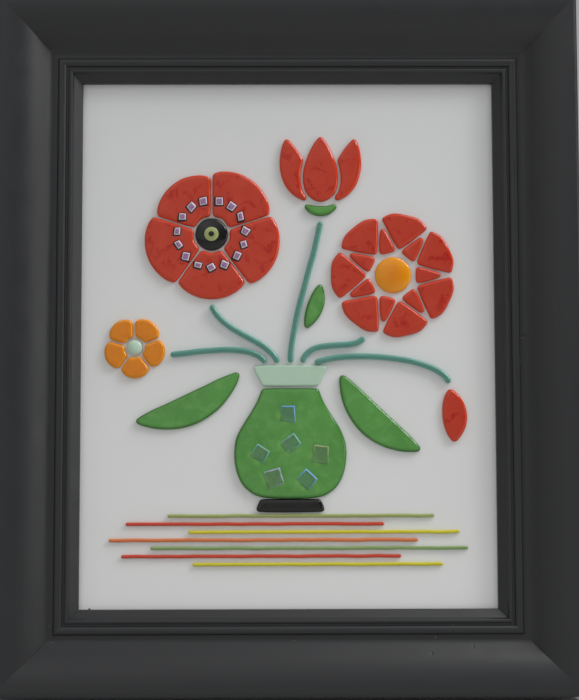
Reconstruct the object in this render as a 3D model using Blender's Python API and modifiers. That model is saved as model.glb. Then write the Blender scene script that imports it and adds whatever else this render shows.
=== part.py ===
"""Framed fused-glass picture: flowers in a vase over a striped table.

Cut pieces of coloured glass lie on a white glass sheet, which sits in the rebate of a dark wooden
frame with mitred corners. Metres, +Z up, the picture faces -Y and the wall is the plane y = 0.
The origin is the middle of the hanger's rear face. In a moulding section, u runs outward from the
edge of the opening and t runs forward from the frame's back.
"""
import math

import bmesh
import bpy
from mathutils import Matrix, Vector

# Opening of the frame and its moulding
SIGHT_W = 0.292
SIGHT_H = 0.371
MOULDING_W = 0.0575
MOULDING_T = 0.038
OUTER_EDGE_R = 0.003
MITRE_GAP = 0.0003

# Steps of the moulding, from the opening outward
LIP_W = 0.006
LIP_EDGE_T = 0.0035
LIP_RISE = 0.005
SMALL_BEAD_W = 0.0032
SMALL_BEAD_H = 0.0014
BEAD_SPACE_W = 0.0013
LARGE_BEAD_W = 0.0063
LARGE_BEAD_H = 0.0022
GROOVE_W = 0.0035
# The shoulder leaves the crest level and the groove nearly level: shares of its run and rise
CREST_REACH = 0.62
GROOVE_REACH = 0.17
GROOVE_LIFT = 0.10

# Rebate, with the sheet and the board that it holds
REBATE_W = 0.0065
REBATE_T = 0.014
REBATE_PLAY = 0.0008
SHEET_T = 0.003
BOARD_T = 0.003
REST_GAP = 0.0003

# Wall side: the hanger and the bumpers reach the wall, and the frame's back stands off it
WALL_GAP = 0.003
HANGER_L = 0.060
HANGER_H = 0.0095
HANGER_T = 0.0009
HANGER_FOOT_L = 0.011
HANGER_RAMP_L = 0.003
TOOTH_PITCH = 0.0032
TOOTH_H = 0.0024
BUMPER_D = 0.010
BUMPER_EDGE_R = 0.0006

# Glass pieces
PIECE_T = 0.0028
PIECE_GAP = 0.0016
PIECE_RIM_R = 0.0015
CORNER_R = 0.0019
STEM_D = 0.004
STRIPE_D = 0.0023
STRIPE_PITCH = 0.0056
DOME_H = 0.0036
CHIP_RISE = 0.0009
CHIP_SINK = 0.0012
POPPY_CHIP_W = 0.0062
VASE_CHIP_W = 0.0115

# The design is drawn on a grid that just fits the opening. Its places and free shapes are in grid
# units from the middle, x to the right and z up, and its angles are in degrees.
GRID_W = 200
GRID_H = 254
UNIT = min(SIGHT_W / GRID_W, SIGHT_H / GRID_H)

POPPY = (-37, 53)
POPPY_R = 33
POPPY_CENTRE_R = 7.9
POPPY_TURN = 18
POPPY_PETAL_SHARES = (1.0, 0.94, 1.0, 0.96, 1.02)
POPPY_SWELL = 0.10
CHIP_RING_SHARE = 0.50

DAHLIA = (51, 33)
DAHLIA_R = 29
DAHLIA_CENTRE_R = 8.8
DAHLIA_SECTORS = 7
DAHLIA_BULGE = 1.06

TULIP = (16, 84)
TULIP_TIP_Z = 18
TULIP_FOOT_Z = -15
TULIP_CUP_H = 6
TULIP_CUP_HALF_W = 10

DAISY = (-74, -2)
DAISY_R = 15
DAISY_CENTRE_R = 3.8
DAISY_TURN = 20
DAISY_PETALS = 5
DAISY_SWELL = 0.16

BUD_TOP = (78, -22)
BUD_TIP = (80, -48)
BUD_W = 12
BUD_BEND = 1.2

VASE_X = 1
VASE_FOOT_Z = -81
VASE_FOOT_H = 6
VASE_FOOT_HALF_W = 17
VASE_H = 52
VASE_BELLY_HALF_W = 27
VASE_BELLY_Z = 22
VASE_NECK_HALF_W = 13.5
COLLAR_H = 10
COLLAR_HALF_W = 18.5
# Chips on the vase: place over its lower edge, and turn
VASE_CHIPS = ((-14.5, 21, 14), (0, 25.5, -9), (14.5, 20.5, 38), (-7.5, 9, -26), (8, 8.5, 6),
              (-1, 40, 47))

# Stems: order along the collar, how they leave it and how they reach the flower
STEM_FAN = 2
STEM_POPPY = (-1, (-4, 12), (4, -14))
STEM_TULIP = (0, (1, 22), (-3, -18))
STEM_DAHLIA = (1, (3, 14), (-6, -8))
STEM_DAISY = (-2, (-6, 10), (18, 2))
STEM_BUD = (2, (14, 6), (-6, 14))
STEM_DAHLIA_ANGLE = -115
STEM_DAISY_ANGLE = -12

# Leaves: root, tip, width and bend
LEAVES = {
    "leaf_left": ((-23, -14), (-74, -38), 15, 6),
    "leaf_right": ((25, -15), (64, -52), 15, -6),
    "leaf_small": ((8.5, 7), (16, 29), 8, -1),
}
LEAF_END_SHARPNESS = 1.45

# Table stripes from the top down: glass, left end and right end
STRIPES = (
    ("lime_glass", -58, 70),
    ("red_glass", -78, 46),
    ("yellow_glass", -48, 82),
    ("coral_glass", -86, 62),
    ("green_glass", -66, 86),
    ("red_glass", -80, 54),
    ("yellow_glass", -46, 74),
)

# Worked out from the above
LIP_TOP_T = REBATE_T + LIP_EDGE_T + LIP_RISE
HANGER_U = (REBATE_W + MOULDING_W) / 2
SIGHT_Z = -(SIGHT_H / 2 + HANGER_U)
BACK_Y = -WALL_GAP
SHEET_FACE_Y = BACK_Y - (REBATE_T - REST_GAP)
SHEET_W = SIGHT_W + 2 * (REBATE_W - REBATE_PLAY)
SHEET_H = SIGHT_H + 2 * (REBATE_W - REBATE_PLAY)
WALL_PAD_T = WALL_GAP - REST_GAP
SHARP_TURN = math.radians(38)

COLOURS = {
    "frame_black": (0.013, 0.014, 0.016),
    "white_glass": (0.56, 0.56, 0.55),
    "red_glass": (0.47, 0.055, 0.035),
    "black_glass": (0.008, 0.008, 0.008),
    "orange_glass": (0.72, 0.27, 0.008),
    "yellow_glass": (0.66, 0.60, 0.03),
    "coral_glass": (0.73, 0.20, 0.06),
    "green_glass": (0.07, 0.30, 0.05),
    "lime_glass": (0.42, 0.52, 0.10),
    "mint_glass": (0.40, 0.58, 0.42),
    "teal_glass": (0.08, 0.31, 0.23),
    "board_brown": (0.20, 0.13, 0.07),
    "zinc": (0.55, 0.55, 0.54),
    "rubber_grey": (0.05, 0.05, 0.05),
}
METALS = {"zinc"}
ROUGHNESS = {"frame_black": 0.38, "board_brown": 0.85, "zinc": 0.35, "rubber_grey": 0.9}
GLASS_ROUGHNESS = 0.08


def clear_scene():
    for obj in list(bpy.data.objects):
        bpy.data.objects.remove(obj, do_unlink=True)


def collection(name):
    group = bpy.data.collections.get(name) or bpy.data.collections.new(name)
    if name not in bpy.context.scene.collection.children:
        bpy.context.scene.collection.children.link(group)
    return group


def material(name):
    """Principled material with the colour, roughness and metallic value of its name."""
    found = bpy.data.materials.get(name)
    if found:
        return found
    made = bpy.data.materials.new(name)
    made.use_nodes = True
    shader = made.node_tree.nodes["Principled BSDF"]
    shader.inputs["Base Color"].default_value = (*COLOURS[name], 1.0)
    shader.inputs["Roughness"].default_value = ROUGHNESS.get(name, GLASS_ROUGHNESS)
    shader.inputs["Metallic"].default_value = 1.0 if name in METALS else 0.0
    return made


# Plane geometry

def polar(centre, angle, radius):
    return (centre[0] + radius * math.cos(angle), centre[1] + radius * math.sin(angle))


def arc(centre, radius, start, end, steps):
    return [polar(centre, start + (end - start) * i / steps, radius) for i in range(steps + 1)]


def bezier(p0, p1, p2, p3, steps):
    """Points along a cubic curve, both ends included."""
    points = []
    for i in range(steps + 1):
        t = i / steps
        weights = ((1 - t) ** 3, 3 * (1 - t) ** 2 * t, 3 * (1 - t) * t * t, t ** 3)
        points.append(tuple(sum(w * p[axis] for w, p in zip(weights, (p0, p1, p2, p3)))
                            for axis in (0, 1)))
    return points


def mirrored(points):
    return [(-x, y) for x, y in reversed(points)]


def moved_right(points, distance):
    """Open line moved sideways by a distance, to the right of its own direction."""
    result = []
    for i, point in enumerate(points):
        before, after = Vector(points[max(i - 1, 0)]), Vector(points[min(i + 1, len(points) - 1)])
        along = (after - before).normalized()
        result.append((point[0] + along.y * distance, point[1] - along.x * distance))
    return result


def set_in(points, distance):
    """Convex anticlockwise outline with every side moved inward by a distance."""
    result = []
    count = len(points)
    for i in range(count):
        before = (Vector(points[i]) - Vector(points[i - 1])).normalized()
        after = (Vector(points[(i + 1) % count]) - Vector(points[i])).normalized()
        normals = Vector((-before.y, before.x)) + Vector((-after.y, after.x))
        result.append(tuple(Vector(points[i]) + normals * (2 * distance / normals.length_squared)))
    return result


def walk(points, start, step, distance):
    """Point that lies a distance along a closed outline from one of its points, either way round,
    and how many points are passed on the way."""
    here = Vector(points[start])
    for passed in range(len(points) // 3):
        ahead = Vector(points[(start + step * (passed + 1)) % len(points)])
        length = (ahead - here).length
        if length >= distance:
            return here + (ahead - here) * (distance / length), passed
        distance -= length
        here = ahead
    return here, passed


def turn_at(points, i):
    """Turning angle of a closed outline at one of its points."""
    before = Vector(points[i]) - Vector(points[i - 1])
    after = Vector(points[(i + 1) % len(points)]) - Vector(points[i])
    return before.angle(after)


def filleted(points, radius=CORNER_R, steps=3):
    """Closed outline with each sharp corner replaced by an arc of the given radius."""
    count = len(points)
    rounds = {}
    dropped = set()
    for i in range(count):
        turn = turn_at(points, i)
        if turn < SHARP_TURN:
            continue
        tip = Vector(points[i])
        half_open = (math.pi - turn) / 2
        # Between curved sides the opening is measured a second time, where the arc ends
        for _ in range(2):
            reach = radius / math.tan(half_open)
            start, passed_back = walk(points, i, -1, reach)
            end, passed_on = walk(points, i, 1, reach)
            half_open = (start - tip).angle(end - tip) / 2
        inward = ((start - tip).normalized() + (end - tip).normalized()).normalized()
        centre = tip + inward * (radius / math.sin(half_open))
        angles = [math.atan2(p.y - centre.y, p.x - centre.x) for p in (start, end)]
        sweep = (angles[1] - angles[0] + math.pi) % (2 * math.pi) - math.pi
        radii = [(p - centre).length for p in (start, end)]
        rounds[i] = [polar(centre, angles[0] + sweep * j / steps,
                           radii[0] + (radii[1] - radii[0]) * j / steps)
                     for j in range(steps + 1)]
        dropped.update((i - k) % count for k in range(passed_back + 1))
        dropped.update((i + k) % count for k in range(passed_on + 1))
    result = []
    for i in range(count):
        if i in rounds:
            result.extend(rounds[i])
        elif i not in dropped:
            result.append(points[i])
    return result


def petal_wedge(centre, inner, outer, start, end, swell, steps):
    """Petal between two rays: its straight sides keep half a gap from them, its tip is swollen."""
    def between(radius):
        set_back = math.asin(PIECE_GAP / 2 / radius)
        return start + set_back, end - set_back

    first, last = between(outer)
    points = []
    for i in range(steps + 1):
        share = i / steps
        radius = outer * (1 - swell + swell * math.sin(math.pi * share) ** 0.7)
        points.append(polar(centre, first + (last - first) * share, radius))
    first, last = between(inner)
    return filleted(points + arc(centre, inner, last, first, 2))


def leaf_outline(root, tip, width, bend, steps=8):
    """Leaf between two points, bent to one side, with narrow rounded ends."""
    start, span = Vector(root), Vector(tip) - Vector(root)
    side = Vector((-span.y, span.x)).normalized()
    left, right = [], []
    for i in range(steps + 1):
        turn = math.pi * i / steps
        share = (1 - math.cos(turn)) / 2
        middle = start + span * share + side * (4 * bend * share * (1 - share))
        half = width / 2 * math.sin(turn) ** LEAF_END_SHARPNESS
        left.append(tuple(middle + side * half))
        right.append(tuple(middle - side * half))
    return filleted(right + left[-2:0:-1])


# Solids

def linked(obj, group, finish):
    group.objects.link(obj)
    obj.data.materials.append(material(finish))
    return obj


def plate_mesh(name, outline, thickness):
    """Mesh of a flat outline, extruded evenly about its own plane."""
    curve = bpy.data.curves.new(name, "CURVE")
    curve.dimensions = "2D"
    curve.fill_mode = "BOTH"
    curve.extrude = thickness / 2
    spline = curve.splines.new("POLY")
    spline.points.add(len(outline) - 1)
    for point, (x, y) in zip(spline.points, outline):
        point.co = (x, y, 0, 1)
    spline.use_cyclic_u = True
    maker = bpy.data.objects.new(name + "_curve", curve)
    bpy.context.scene.collection.objects.link(maker)
    graph = bpy.context.evaluated_depsgraph_get()
    mesh = bpy.data.meshes.new_from_object(maker.evaluated_get(graph))
    bpy.data.objects.remove(maker, do_unlink=True)
    shape = bmesh.new()
    shape.from_mesh(mesh)
    bmesh.ops.remove_doubles(shape, verts=shape.verts, dist=0.000001)
    bmesh.ops.dissolve_limit(shape, angle_limit=math.radians(0.2), verts=shape.verts,
                             edges=shape.edges)
    bmesh.ops.recalc_face_normals(shape, faces=shape.faces)
    shape.to_mesh(mesh)
    shape.free()
    mesh.name = name
    return mesh


def round_front_rim(mesh, radius, steps=2):
    """Round the rim of a plate on its +Z side."""
    shape = bmesh.new()
    shape.from_mesh(mesh)
    front = max(v.co.z for v in shape.verts)
    rim = [e for e in shape.edges
           if all(front - v.co.z < 0.00001 for v in e.verts)
           and any(abs(f.normal.z) < 0.5 for f in e.link_faces)]
    bmesh.ops.bevel(shape, geom=rim, offset=radius, segments=steps, profile=0.5,
                    affect="EDGES", clamp_overlap=True)
    shape.to_mesh(mesh)
    shape.free()


def glass_piece(name, outline, finish, group, picture):
    """Cut piece of sheet glass, its front rim rounded by the kiln, standing clear of the sheet."""
    mesh = plate_mesh(name, outline, PIECE_T)
    round_front_rim(mesh, PIECE_RIM_R)
    piece = linked(bpy.data.objects.new(name, mesh), group, finish)
    piece.parent = picture
    piece.rotation_euler = (math.pi / 2, 0, 0)
    piece.location = (0, -(REST_GAP + PIECE_T / 2), 0)
    return piece


def glass_dome(name, centre, radius, finish, group, picture, steps=5, sides=20):
    """Drop of glass that has melted to a low dome, turned from half of its section."""
    rise = [(radius * math.cos(a), DOME_H * math.sin(a) ** 0.8)
            for a in (math.pi / 2 * i / steps for i in range(steps))]
    profile = [(0.0, DOME_H)] + rise[::-1] + [(0.0, 0.0)]
    mesh = bpy.data.meshes.new(name)
    mesh.from_pydata([(x, 0, z) for x, z in profile],
                     [(i, i + 1) for i in range(len(profile) - 1)], [])
    dome = linked(bpy.data.objects.new(name, mesh), group, finish)
    screw = dome.modifiers.new("Turn", "SCREW")
    screw.axis = "Z"
    screw.steps = screw.render_steps = sides
    screw.use_merge_vertices = True
    screw.merge_threshold = 0.00001
    dome.parent = picture
    dome.rotation_euler = (math.pi / 2, 0, 0)
    dome.location = (centre[0], -REST_GAP, centre[1])
    return dome


def glass_rod(name, points, diameter, finish, group, picture):
    """Round rod of glass lying on the sheet along a line of points."""
    curve = bpy.data.curves.new(name, "CURVE")
    curve.dimensions = "3D"
    curve.bevel_depth = diameter / 2
    curve.bevel_resolution = 2
    curve.use_fill_caps = True
    spline = curve.splines.new("POLY")
    spline.points.add(len(points) - 1)
    for point, (x, z) in zip(spline.points, points):
        point.co = (x, 0, z, 1)
    rod = linked(bpy.data.objects.new(name, curve), group, finish)
    rod.parent = picture
    rod.location = (0, -(REST_GAP + diameter / 2), 0)
    return rod


def box(name, size, centre, finish, group):
    """Box with its full size and its centre."""
    shape = bmesh.new()
    bmesh.ops.create_cube(shape, size=1, matrix=Matrix.Diagonal((*size, 1)))
    mesh = bpy.data.meshes.new(name)
    shape.to_mesh(mesh)
    shape.free()
    obj = linked(bpy.data.objects.new(name, mesh), group, finish)
    obj.location = centre
    return obj


def hide_cutter(obj):
    obj.hide_render = True
    obj.display_type = "WIRE"


# Frame

def bead(start, end, height, steps):
    """Round bead over the ground at the top of the lip, from its outer foot to its inner one."""
    middle, half = (start + end) / 2, (start - end) / 2
    return [(middle + half * math.cos(a), LIP_TOP_T + height * math.sin(a))
            for a in (math.pi * i / steps for i in range(steps + 1))]


def moulding_section():
    """Closed section of the moulding, anticlockwise with u to the right and t up."""
    small_out = LIP_W + SMALL_BEAD_W
    large_in = small_out + BEAD_SPACE_W
    large_out = large_in + LARGE_BEAD_W
    shoulder_in = large_out + GROOVE_W
    crest_u = MOULDING_W - OUTER_EDGE_R
    run, rise = crest_u - shoulder_in, MOULDING_T - LIP_TOP_T
    points = [(REBATE_W, 0), (MOULDING_W, 0)]
    points += arc((crest_u, MOULDING_T - OUTER_EDGE_R), OUTER_EDGE_R, 0, math.pi / 2, 4)
    points += bezier((crest_u, MOULDING_T),
                     (crest_u - CREST_REACH * run, MOULDING_T),
                     (shoulder_in + GROOVE_REACH * run, LIP_TOP_T + GROOVE_LIFT * rise),
                     (shoulder_in, LIP_TOP_T), 12)[1:]
    points += bead(large_out, large_in, LARGE_BEAD_H, 6)
    points += bead(small_out, LIP_W, SMALL_BEAD_H, 4)
    points += [(0, REBATE_T + LIP_EDGE_T), (0, REBATE_T), (REBATE_W, REBATE_T)]
    return points


def frame_rail(name, outward, half_opening, edge_distance, group):
    """Length of moulding on one side of the opening, its ends mitred at 45 degrees."""
    mesh = plate_mesh(name, moulding_section(), 2 * half_opening)
    setback = MITRE_GAP / math.sqrt(2)
    for vertex in mesh.vertices:
        end = half_opening + vertex.co.x - setback
        vertex.co.z = math.copysign(end, vertex.co.z)
    rail = linked(bpy.data.objects.new(name, mesh), group, "frame_black")
    front = Vector((0, -1, 0))
    place = Matrix((outward, front, outward.cross(front))).transposed().to_4x4()
    place.translation = Vector((0, BACK_Y, SIGHT_Z)) + outward * edge_distance
    rail.matrix_world = place


def make_frame(group):
    for name, outward, half, edge in (
            ("frame_top_rail", Vector((0, 0, 1)), SIGHT_W / 2, SIGHT_H / 2),
            ("frame_bottom_rail", Vector((0, 0, -1)), SIGHT_W / 2, SIGHT_H / 2),
            ("frame_left_rail", Vector((-1, 0, 0)), SIGHT_H / 2, SIGHT_W / 2),
            ("frame_right_rail", Vector((1, 0, 0)), SIGHT_H / 2, SIGHT_W / 2)):
        frame_rail(name, outward, half, edge, group)


def make_sheet_and_board(group):
    box("base_sheet", (SHEET_W, SHEET_T, SHEET_H), (0, SHEET_FACE_Y + SHEET_T / 2, SIGHT_Z),
        "white_glass", group)
    board_y = SHEET_FACE_Y + SHEET_T + REST_GAP + BOARD_T / 2
    box("backing_board", (SHEET_W, BOARD_T, SHEET_H), (0, board_y, SIGHT_Z),
        "board_brown", group)


# Wall side

def hanger_side():
    """Side view of the strip as (x, forward): feet on the wood, middle at the wall, ends to trim."""
    half, foot = HANGER_L / 2 + HANGER_T, HANGER_L / 2 - HANGER_FOOT_L
    ramp = foot - HANGER_RAMP_L
    wall_face = [(-half, WALL_PAD_T - HANGER_T), (-foot, WALL_PAD_T - HANGER_T), (-ramp, 0)]
    wood_face = [(-ramp, HANGER_T), (-foot, WALL_PAD_T), (-half, WALL_PAD_T)]
    return wall_face + mirrored(wall_face) + mirrored(wood_face) + wood_face


def hanger_front():
    """Front view of the hanger as (x, z), with its row of teeth along the lower edge."""
    half, lower = HANGER_L / 2, -HANGER_H / 2
    raised = HANGER_L - 2 * (HANGER_FOOT_L + HANGER_RAMP_L)
    teeth = max(3, int(raised / TOOTH_PITCH - 1))
    first = -teeth * TOOTH_PITCH / 2
    points = [(-half, lower)]
    for i in range(teeth):
        left = first + i * TOOTH_PITCH
        points += [(left, lower), (left + TOOTH_PITCH / 2, lower + TOOTH_H)]
    return points + [(-first, lower), (half, lower), (half, -lower), (-half, -lower)]


def make_hanger(group, cutters):
    """Bent strip, trimmed to its front view."""
    strip = linked(bpy.data.objects.new(
        "sawtooth_hanger", plate_mesh("sawtooth_hanger", hanger_side(), 2 * HANGER_H)),
        group, "zinc")
    strip.matrix_world = Matrix(((1, 0, 0), (0, -1, 0), (0, 0, -1))).to_4x4()
    outline = bpy.data.objects.new("hanger_outline",
                                   plate_mesh("hanger_outline", hanger_front(), 4 * WALL_GAP))
    outline.rotation_euler = (math.pi / 2, 0, 0)
    cutters.objects.link(outline)
    hide_cutter(outline)
    trim = strip.modifiers.new("Outline", "BOOLEAN")
    trim.operation = "INTERSECT"
    trim.object = outline


def make_bumpers(group):
    """Two rubber pads near the lower corners, on the back of the bottom rail."""
    for name, side in (("wall_bumper_left", -1), ("wall_bumper_right", 1)):
        shape = bmesh.new()
        bmesh.ops.create_cone(shape, cap_ends=True, segments=16, radius1=BUMPER_D / 2,
                              radius2=BUMPER_D / 2, depth=WALL_PAD_T)
        rim = [e for e in shape.edges if all(v.co.z > 0 for v in e.verts)]
        bmesh.ops.bevel(shape, geom=rim, offset=BUMPER_EDGE_R, segments=1, affect="EDGES")
        mesh = bpy.data.meshes.new(name)
        shape.to_mesh(mesh)
        shape.free()
        pad = linked(bpy.data.objects.new(name, mesh), group, "rubber_grey")
        pad.rotation_euler = (-math.pi / 2, 0, 0)
        pad.location = (side * SIGHT_W / 2, -WALL_PAD_T / 2, SIGHT_Z - SIGHT_H / 2 - HANGER_U)


# Picture

def at(x, z):
    """Point of the picture, in metres from its middle, from a point of the grid."""
    return (x * UNIT, z * UNIT)


def around(centre, points):
    """Grid points given from a centre on the grid, in metres."""
    return [at(centre[0] + x, centre[1] + z) for x, z in points]


def add_chips(piece, chips, width, cutters):
    """Fuse small squares of glass, each with a centre and a turn, into the front of a piece."""
    shape = bmesh.new()
    for centre, turn in chips:
        corners = arc(centre, width / math.sqrt(2), turn, turn + 1.5 * math.pi, 3)
        square = plate_mesh("chip", corners, CHIP_RISE + CHIP_SINK)
        shape.from_mesh(square)
        bpy.data.meshes.remove(square)
    mesh = bpy.data.meshes.new(piece.name + "_chips")
    shape.to_mesh(mesh)
    shape.free()
    squares = bpy.data.objects.new(piece.name + "_chips", mesh)
    cutters.objects.link(squares)
    squares.parent = piece
    squares.location = (0, 0, PIECE_T / 2 + (CHIP_RISE - CHIP_SINK) / 2)
    hide_cutter(squares)
    union = piece.modifiers.new("Chips", "BOOLEAN")
    union.operation = "UNION"
    union.object = squares


def poppy_chips(centre, start, sector, petal):
    """As many small squares as fit across one petal, on a ring, each turned a little further."""
    ring = POPPY_R * CHIP_RING_SHARE * UNIT
    room = sector * ring - PIECE_GAP
    count = max(1, int(room / (POPPY_CHIP_W * math.sqrt(2))))
    margin = PIECE_GAP / 2 / ring
    chips = []
    for i in range(count):
        angle = start + margin + (sector - 2 * margin) * (i + 0.5) / count
        chips.append((polar(centre, angle, ring), angle + math.radians(28 + 17 * i + 9 * petal)))
    return chips


def make_poppy(group, picture, cutters):
    centre = at(*POPPY)
    sector = 2 * math.pi / len(POPPY_PETAL_SHARES)
    inner = POPPY_CENTRE_R * UNIT + PIECE_GAP
    for i, share in enumerate(POPPY_PETAL_SHARES):
        start = math.radians(POPPY_TURN) + sector * i
        outline = petal_wedge(centre, inner, POPPY_R * share * UNIT, start, start + sector,
                              POPPY_SWELL, 12)
        petal = glass_piece(f"poppy_petal_{i + 1}", outline, "red_glass", group, picture)
        add_chips(petal, poppy_chips(centre, start, sector, i), POPPY_CHIP_W, cutters)
    glass_dome("poppy_centre", centre, POPPY_CENTRE_R * UNIT, "black_glass", group, picture)


def make_dahlia(group, picture):
    """Ring of tiles that point in and out by turns, around a dome."""
    centre = at(*DAHLIA)
    sector = 2 * math.pi / DAHLIA_SECTORS
    outer = DAHLIA_R * UNIT
    inner = (DAHLIA_CENTRE_R * UNIT + 1.5 * PIECE_GAP) / math.cos(sector / 2)
    for i in range(DAHLIA_SECTORS):
        start, end = sector * i, sector * (i + 1)
        before, after = polar(centre, start, outer), polar(centre, end, outer)
        outer_side = arc(centre, outer * DAHLIA_BULGE, start, end, 4)[1:-1]
        wide = [before] + outer_side + [after, polar(centre, start + sector / 2, inner)]
        narrow = [polar(centre, start - sector / 2, inner), before,
                  polar(centre, start + sector / 2, inner)]
        for name, outline in ((f"dahlia_outer_{i + 1}", wide), (f"dahlia_inner_{i + 1}", narrow)):
            glass_piece(name, filleted(set_in(outline, PIECE_GAP / 2)), "red_glass", group,
                        picture)
    glass_dome("dahlia_centre", centre, DAHLIA_CENTRE_R * UNIT, "orange_glass", group, picture)


def make_tulip(group, picture):
    """Three petals side by side over a cup."""
    gap = PIECE_GAP / UNIT
    half = bezier((0, TULIP_FOOT_Z), (12, TULIP_FOOT_Z + 1), (11, 5), (0, TULIP_TIP_Z), 10)
    middle = half + mirrored(half)[1:-1]
    seam = moved_right(half[1:8], gap)
    outer_side = bezier(seam[0], (18, TULIP_FOOT_Z), (24, 2), (17, TULIP_TIP_Z - 1), 8)
    inner_side = bezier(outer_side[-1], (13.5, 14), (11.5, 11), seam[-1], 3)
    right = outer_side + inner_side[1:-1] + seam[:0:-1]
    for name, points in (("tulip_petal_middle", middle), ("tulip_petal_right", right),
                         ("tulip_petal_left", mirrored(right))):
        glass_piece(name, filleted(around(TULIP, points)), "red_glass", group, picture)
    rim = TULIP_FOOT_Z - gap
    foot = rim - TULIP_CUP_H
    edge = (TULIP_CUP_HALF_W, rim + 2.5)
    cup = (bezier((0, foot), (5, foot), (8, foot + 3), edge, 4)
           + bezier(edge, (8, rim), (5, rim - 1), (0, rim - 1), 4)[1:])
    glass_piece("tulip_cup", filleted(around(TULIP, cup + mirrored(cup)[1:-1])), "green_glass",
                group, picture)
    return foot + TULIP[1]


def make_daisy(group, picture):
    centre = at(*DAISY)
    sector = 2 * math.pi / DAISY_PETALS
    inner = DAISY_CENTRE_R * UNIT + PIECE_GAP
    for i in range(DAISY_PETALS):
        start = math.radians(DAISY_TURN) + sector * i
        outline = petal_wedge(centre, inner, DAISY_R * UNIT, start, start + sector,
                              DAISY_SWELL, 7)
        glass_piece(f"daisy_petal_{i + 1}", outline, "orange_glass", group, picture)
    glass_dome("daisy_centre", centre, DAISY_CENTRE_R * UNIT, "mint_glass", group, picture,
               sides=14)


def make_vase(group, picture, cutters):
    """Foot, body and collar, one above the other with a gap; returns the collar's top edge."""
    gap = PIECE_GAP / UNIT
    foot_top = VASE_FOOT_Z + VASE_FOOT_H
    foot_half = VASE_FOOT_HALF_W - 2.5
    foot = [(-VASE_FOOT_HALF_W, VASE_FOOT_Z), (VASE_FOOT_HALF_W, VASE_FOOT_Z),
            (foot_half, foot_top), (-foot_half, foot_top)]
    glass_piece("vase_foot", filleted(around((VASE_X, 0), foot)), "black_glass", group, picture)
    low = foot_top + gap
    belly = (VASE_BELLY_HALF_W, VASE_BELLY_Z)
    right = (bezier((foot_half, 0), (foot_half + 10, 3), (VASE_BELLY_HALF_W, 12), belly, 6)
             + bezier(belly, (VASE_BELLY_HALF_W, 33), (VASE_NECK_HALF_W + 4, VASE_H - 13),
                      (VASE_NECK_HALF_W, VASE_H), 6)[1:])
    body = glass_piece("vase_body", filleted(around((VASE_X, low), right + mirrored(right))),
                       "green_glass", group, picture)
    chips = [(at(VASE_X + x, low + z), math.radians(turn)) for x, z, turn in VASE_CHIPS]
    add_chips(body, chips, VASE_CHIP_W, cutters)
    neck = low + VASE_H + gap
    top = neck + COLLAR_H
    collar = [(-VASE_NECK_HALF_W, neck), (VASE_NECK_HALF_W, neck), (COLLAR_HALF_W, top),
              (-COLLAR_HALF_W, top)]
    glass_piece("vase_collar", filleted(around((VASE_X, 0), collar)), "mint_glass", group, picture)
    return top


def make_stem(name, route, end, collar_top, group, picture):
    """Rod from its place along the collar to just under its flower."""
    order, leave, reach = route
    pitch = STEM_D + PIECE_GAP + STEM_FAN * UNIT
    start = (VASE_X * UNIT + order * pitch, collar_top * UNIT + PIECE_GAP)
    points = bezier(start, (start[0] + leave[0] * UNIT, start[1] + leave[1] * UNIT),
                    (end[0] + reach[0] * UNIT, end[1] + reach[1] * UNIT), end, 12)
    glass_rod(name, points, STEM_D, "teal_glass", group, picture)


def make_stems(group, picture, collar_top, tulip_foot):
    clear = PIECE_GAP + STEM_D / 2
    sector = 2 * math.pi / len(POPPY_PETAL_SHARES)
    poppy_end = polar(at(*POPPY), math.radians(POPPY_TURN) + sector * 3.5,
                      POPPY_R * POPPY_PETAL_SHARES[3] * UNIT + clear)
    dahlia_end = polar(at(*DAHLIA), math.radians(STEM_DAHLIA_ANGLE),
                       DAHLIA_R * DAHLIA_BULGE * UNIT + clear)
    daisy_end = polar(at(*DAISY), math.radians(STEM_DAISY_ANGLE), DAISY_R * UNIT + clear)
    tulip_end = (TULIP[0] * UNIT, tulip_foot * UNIT - clear)
    bud_end = (BUD_TOP[0] * UNIT, BUD_TOP[1] * UNIT + clear)
    for name, route, end in (("stem_poppy", STEM_POPPY, poppy_end),
                             ("stem_tulip", STEM_TULIP, tulip_end),
                             ("stem_dahlia", STEM_DAHLIA, dahlia_end),
                             ("stem_daisy", STEM_DAISY, daisy_end),
                             ("stem_bud", STEM_BUD, bud_end)):
        make_stem(name, route, end, collar_top, group, picture)


def make_leaves_and_bud(group, picture):
    for name, (root, tip, width, bend) in LEAVES.items():
        glass_piece(name, leaf_outline(at(*root), at(*tip), width * UNIT, bend * UNIT),
                    "green_glass", group, picture)
    glass_piece("bud", leaf_outline(at(*BUD_TOP), at(*BUD_TIP), BUD_W * UNIT, BUD_BEND * UNIT),
                "red_glass", group, picture)


def make_stripes(group, picture):
    """Thin rods across the foot of the picture, one to a row, with staggered ends."""
    first = VASE_FOOT_Z * UNIT - PIECE_GAP - STRIPE_D / 2
    for i, (finish, left, right) in enumerate(STRIPES):
        z = first - i * STRIPE_PITCH
        glass_rod(f"table_stripe_{i + 1}", [(left * UNIT, z), (right * UNIT, z)], STRIPE_D,
                  finish, group, picture)


def make_picture(group, cutters):
    picture = bpy.data.objects.new("picture_centre", None)
    picture.location = (0, SHEET_FACE_Y, SIGHT_Z)
    group.objects.link(picture)
    collar_top = make_vase(group, picture, cutters)
    make_poppy(group, picture, cutters)
    make_dahlia(group, picture)
    tulip_foot = make_tulip(group, picture)
    make_daisy(group, picture)
    make_stems(group, picture, collar_top, tulip_foot)
    make_leaves_and_bud(group, picture)
    make_stripes(group, picture)


def main():
    clear_scene()
    group = collection("fused_glass_wall_art")
    cutters = collection("cutters")
    make_frame(group)
    make_sheet_and_board(group)
    make_hanger(group, cutters)
    make_bumpers(group)
    make_picture(group, cutters)
    bpy.context.view_layer.update()


main()
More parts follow.
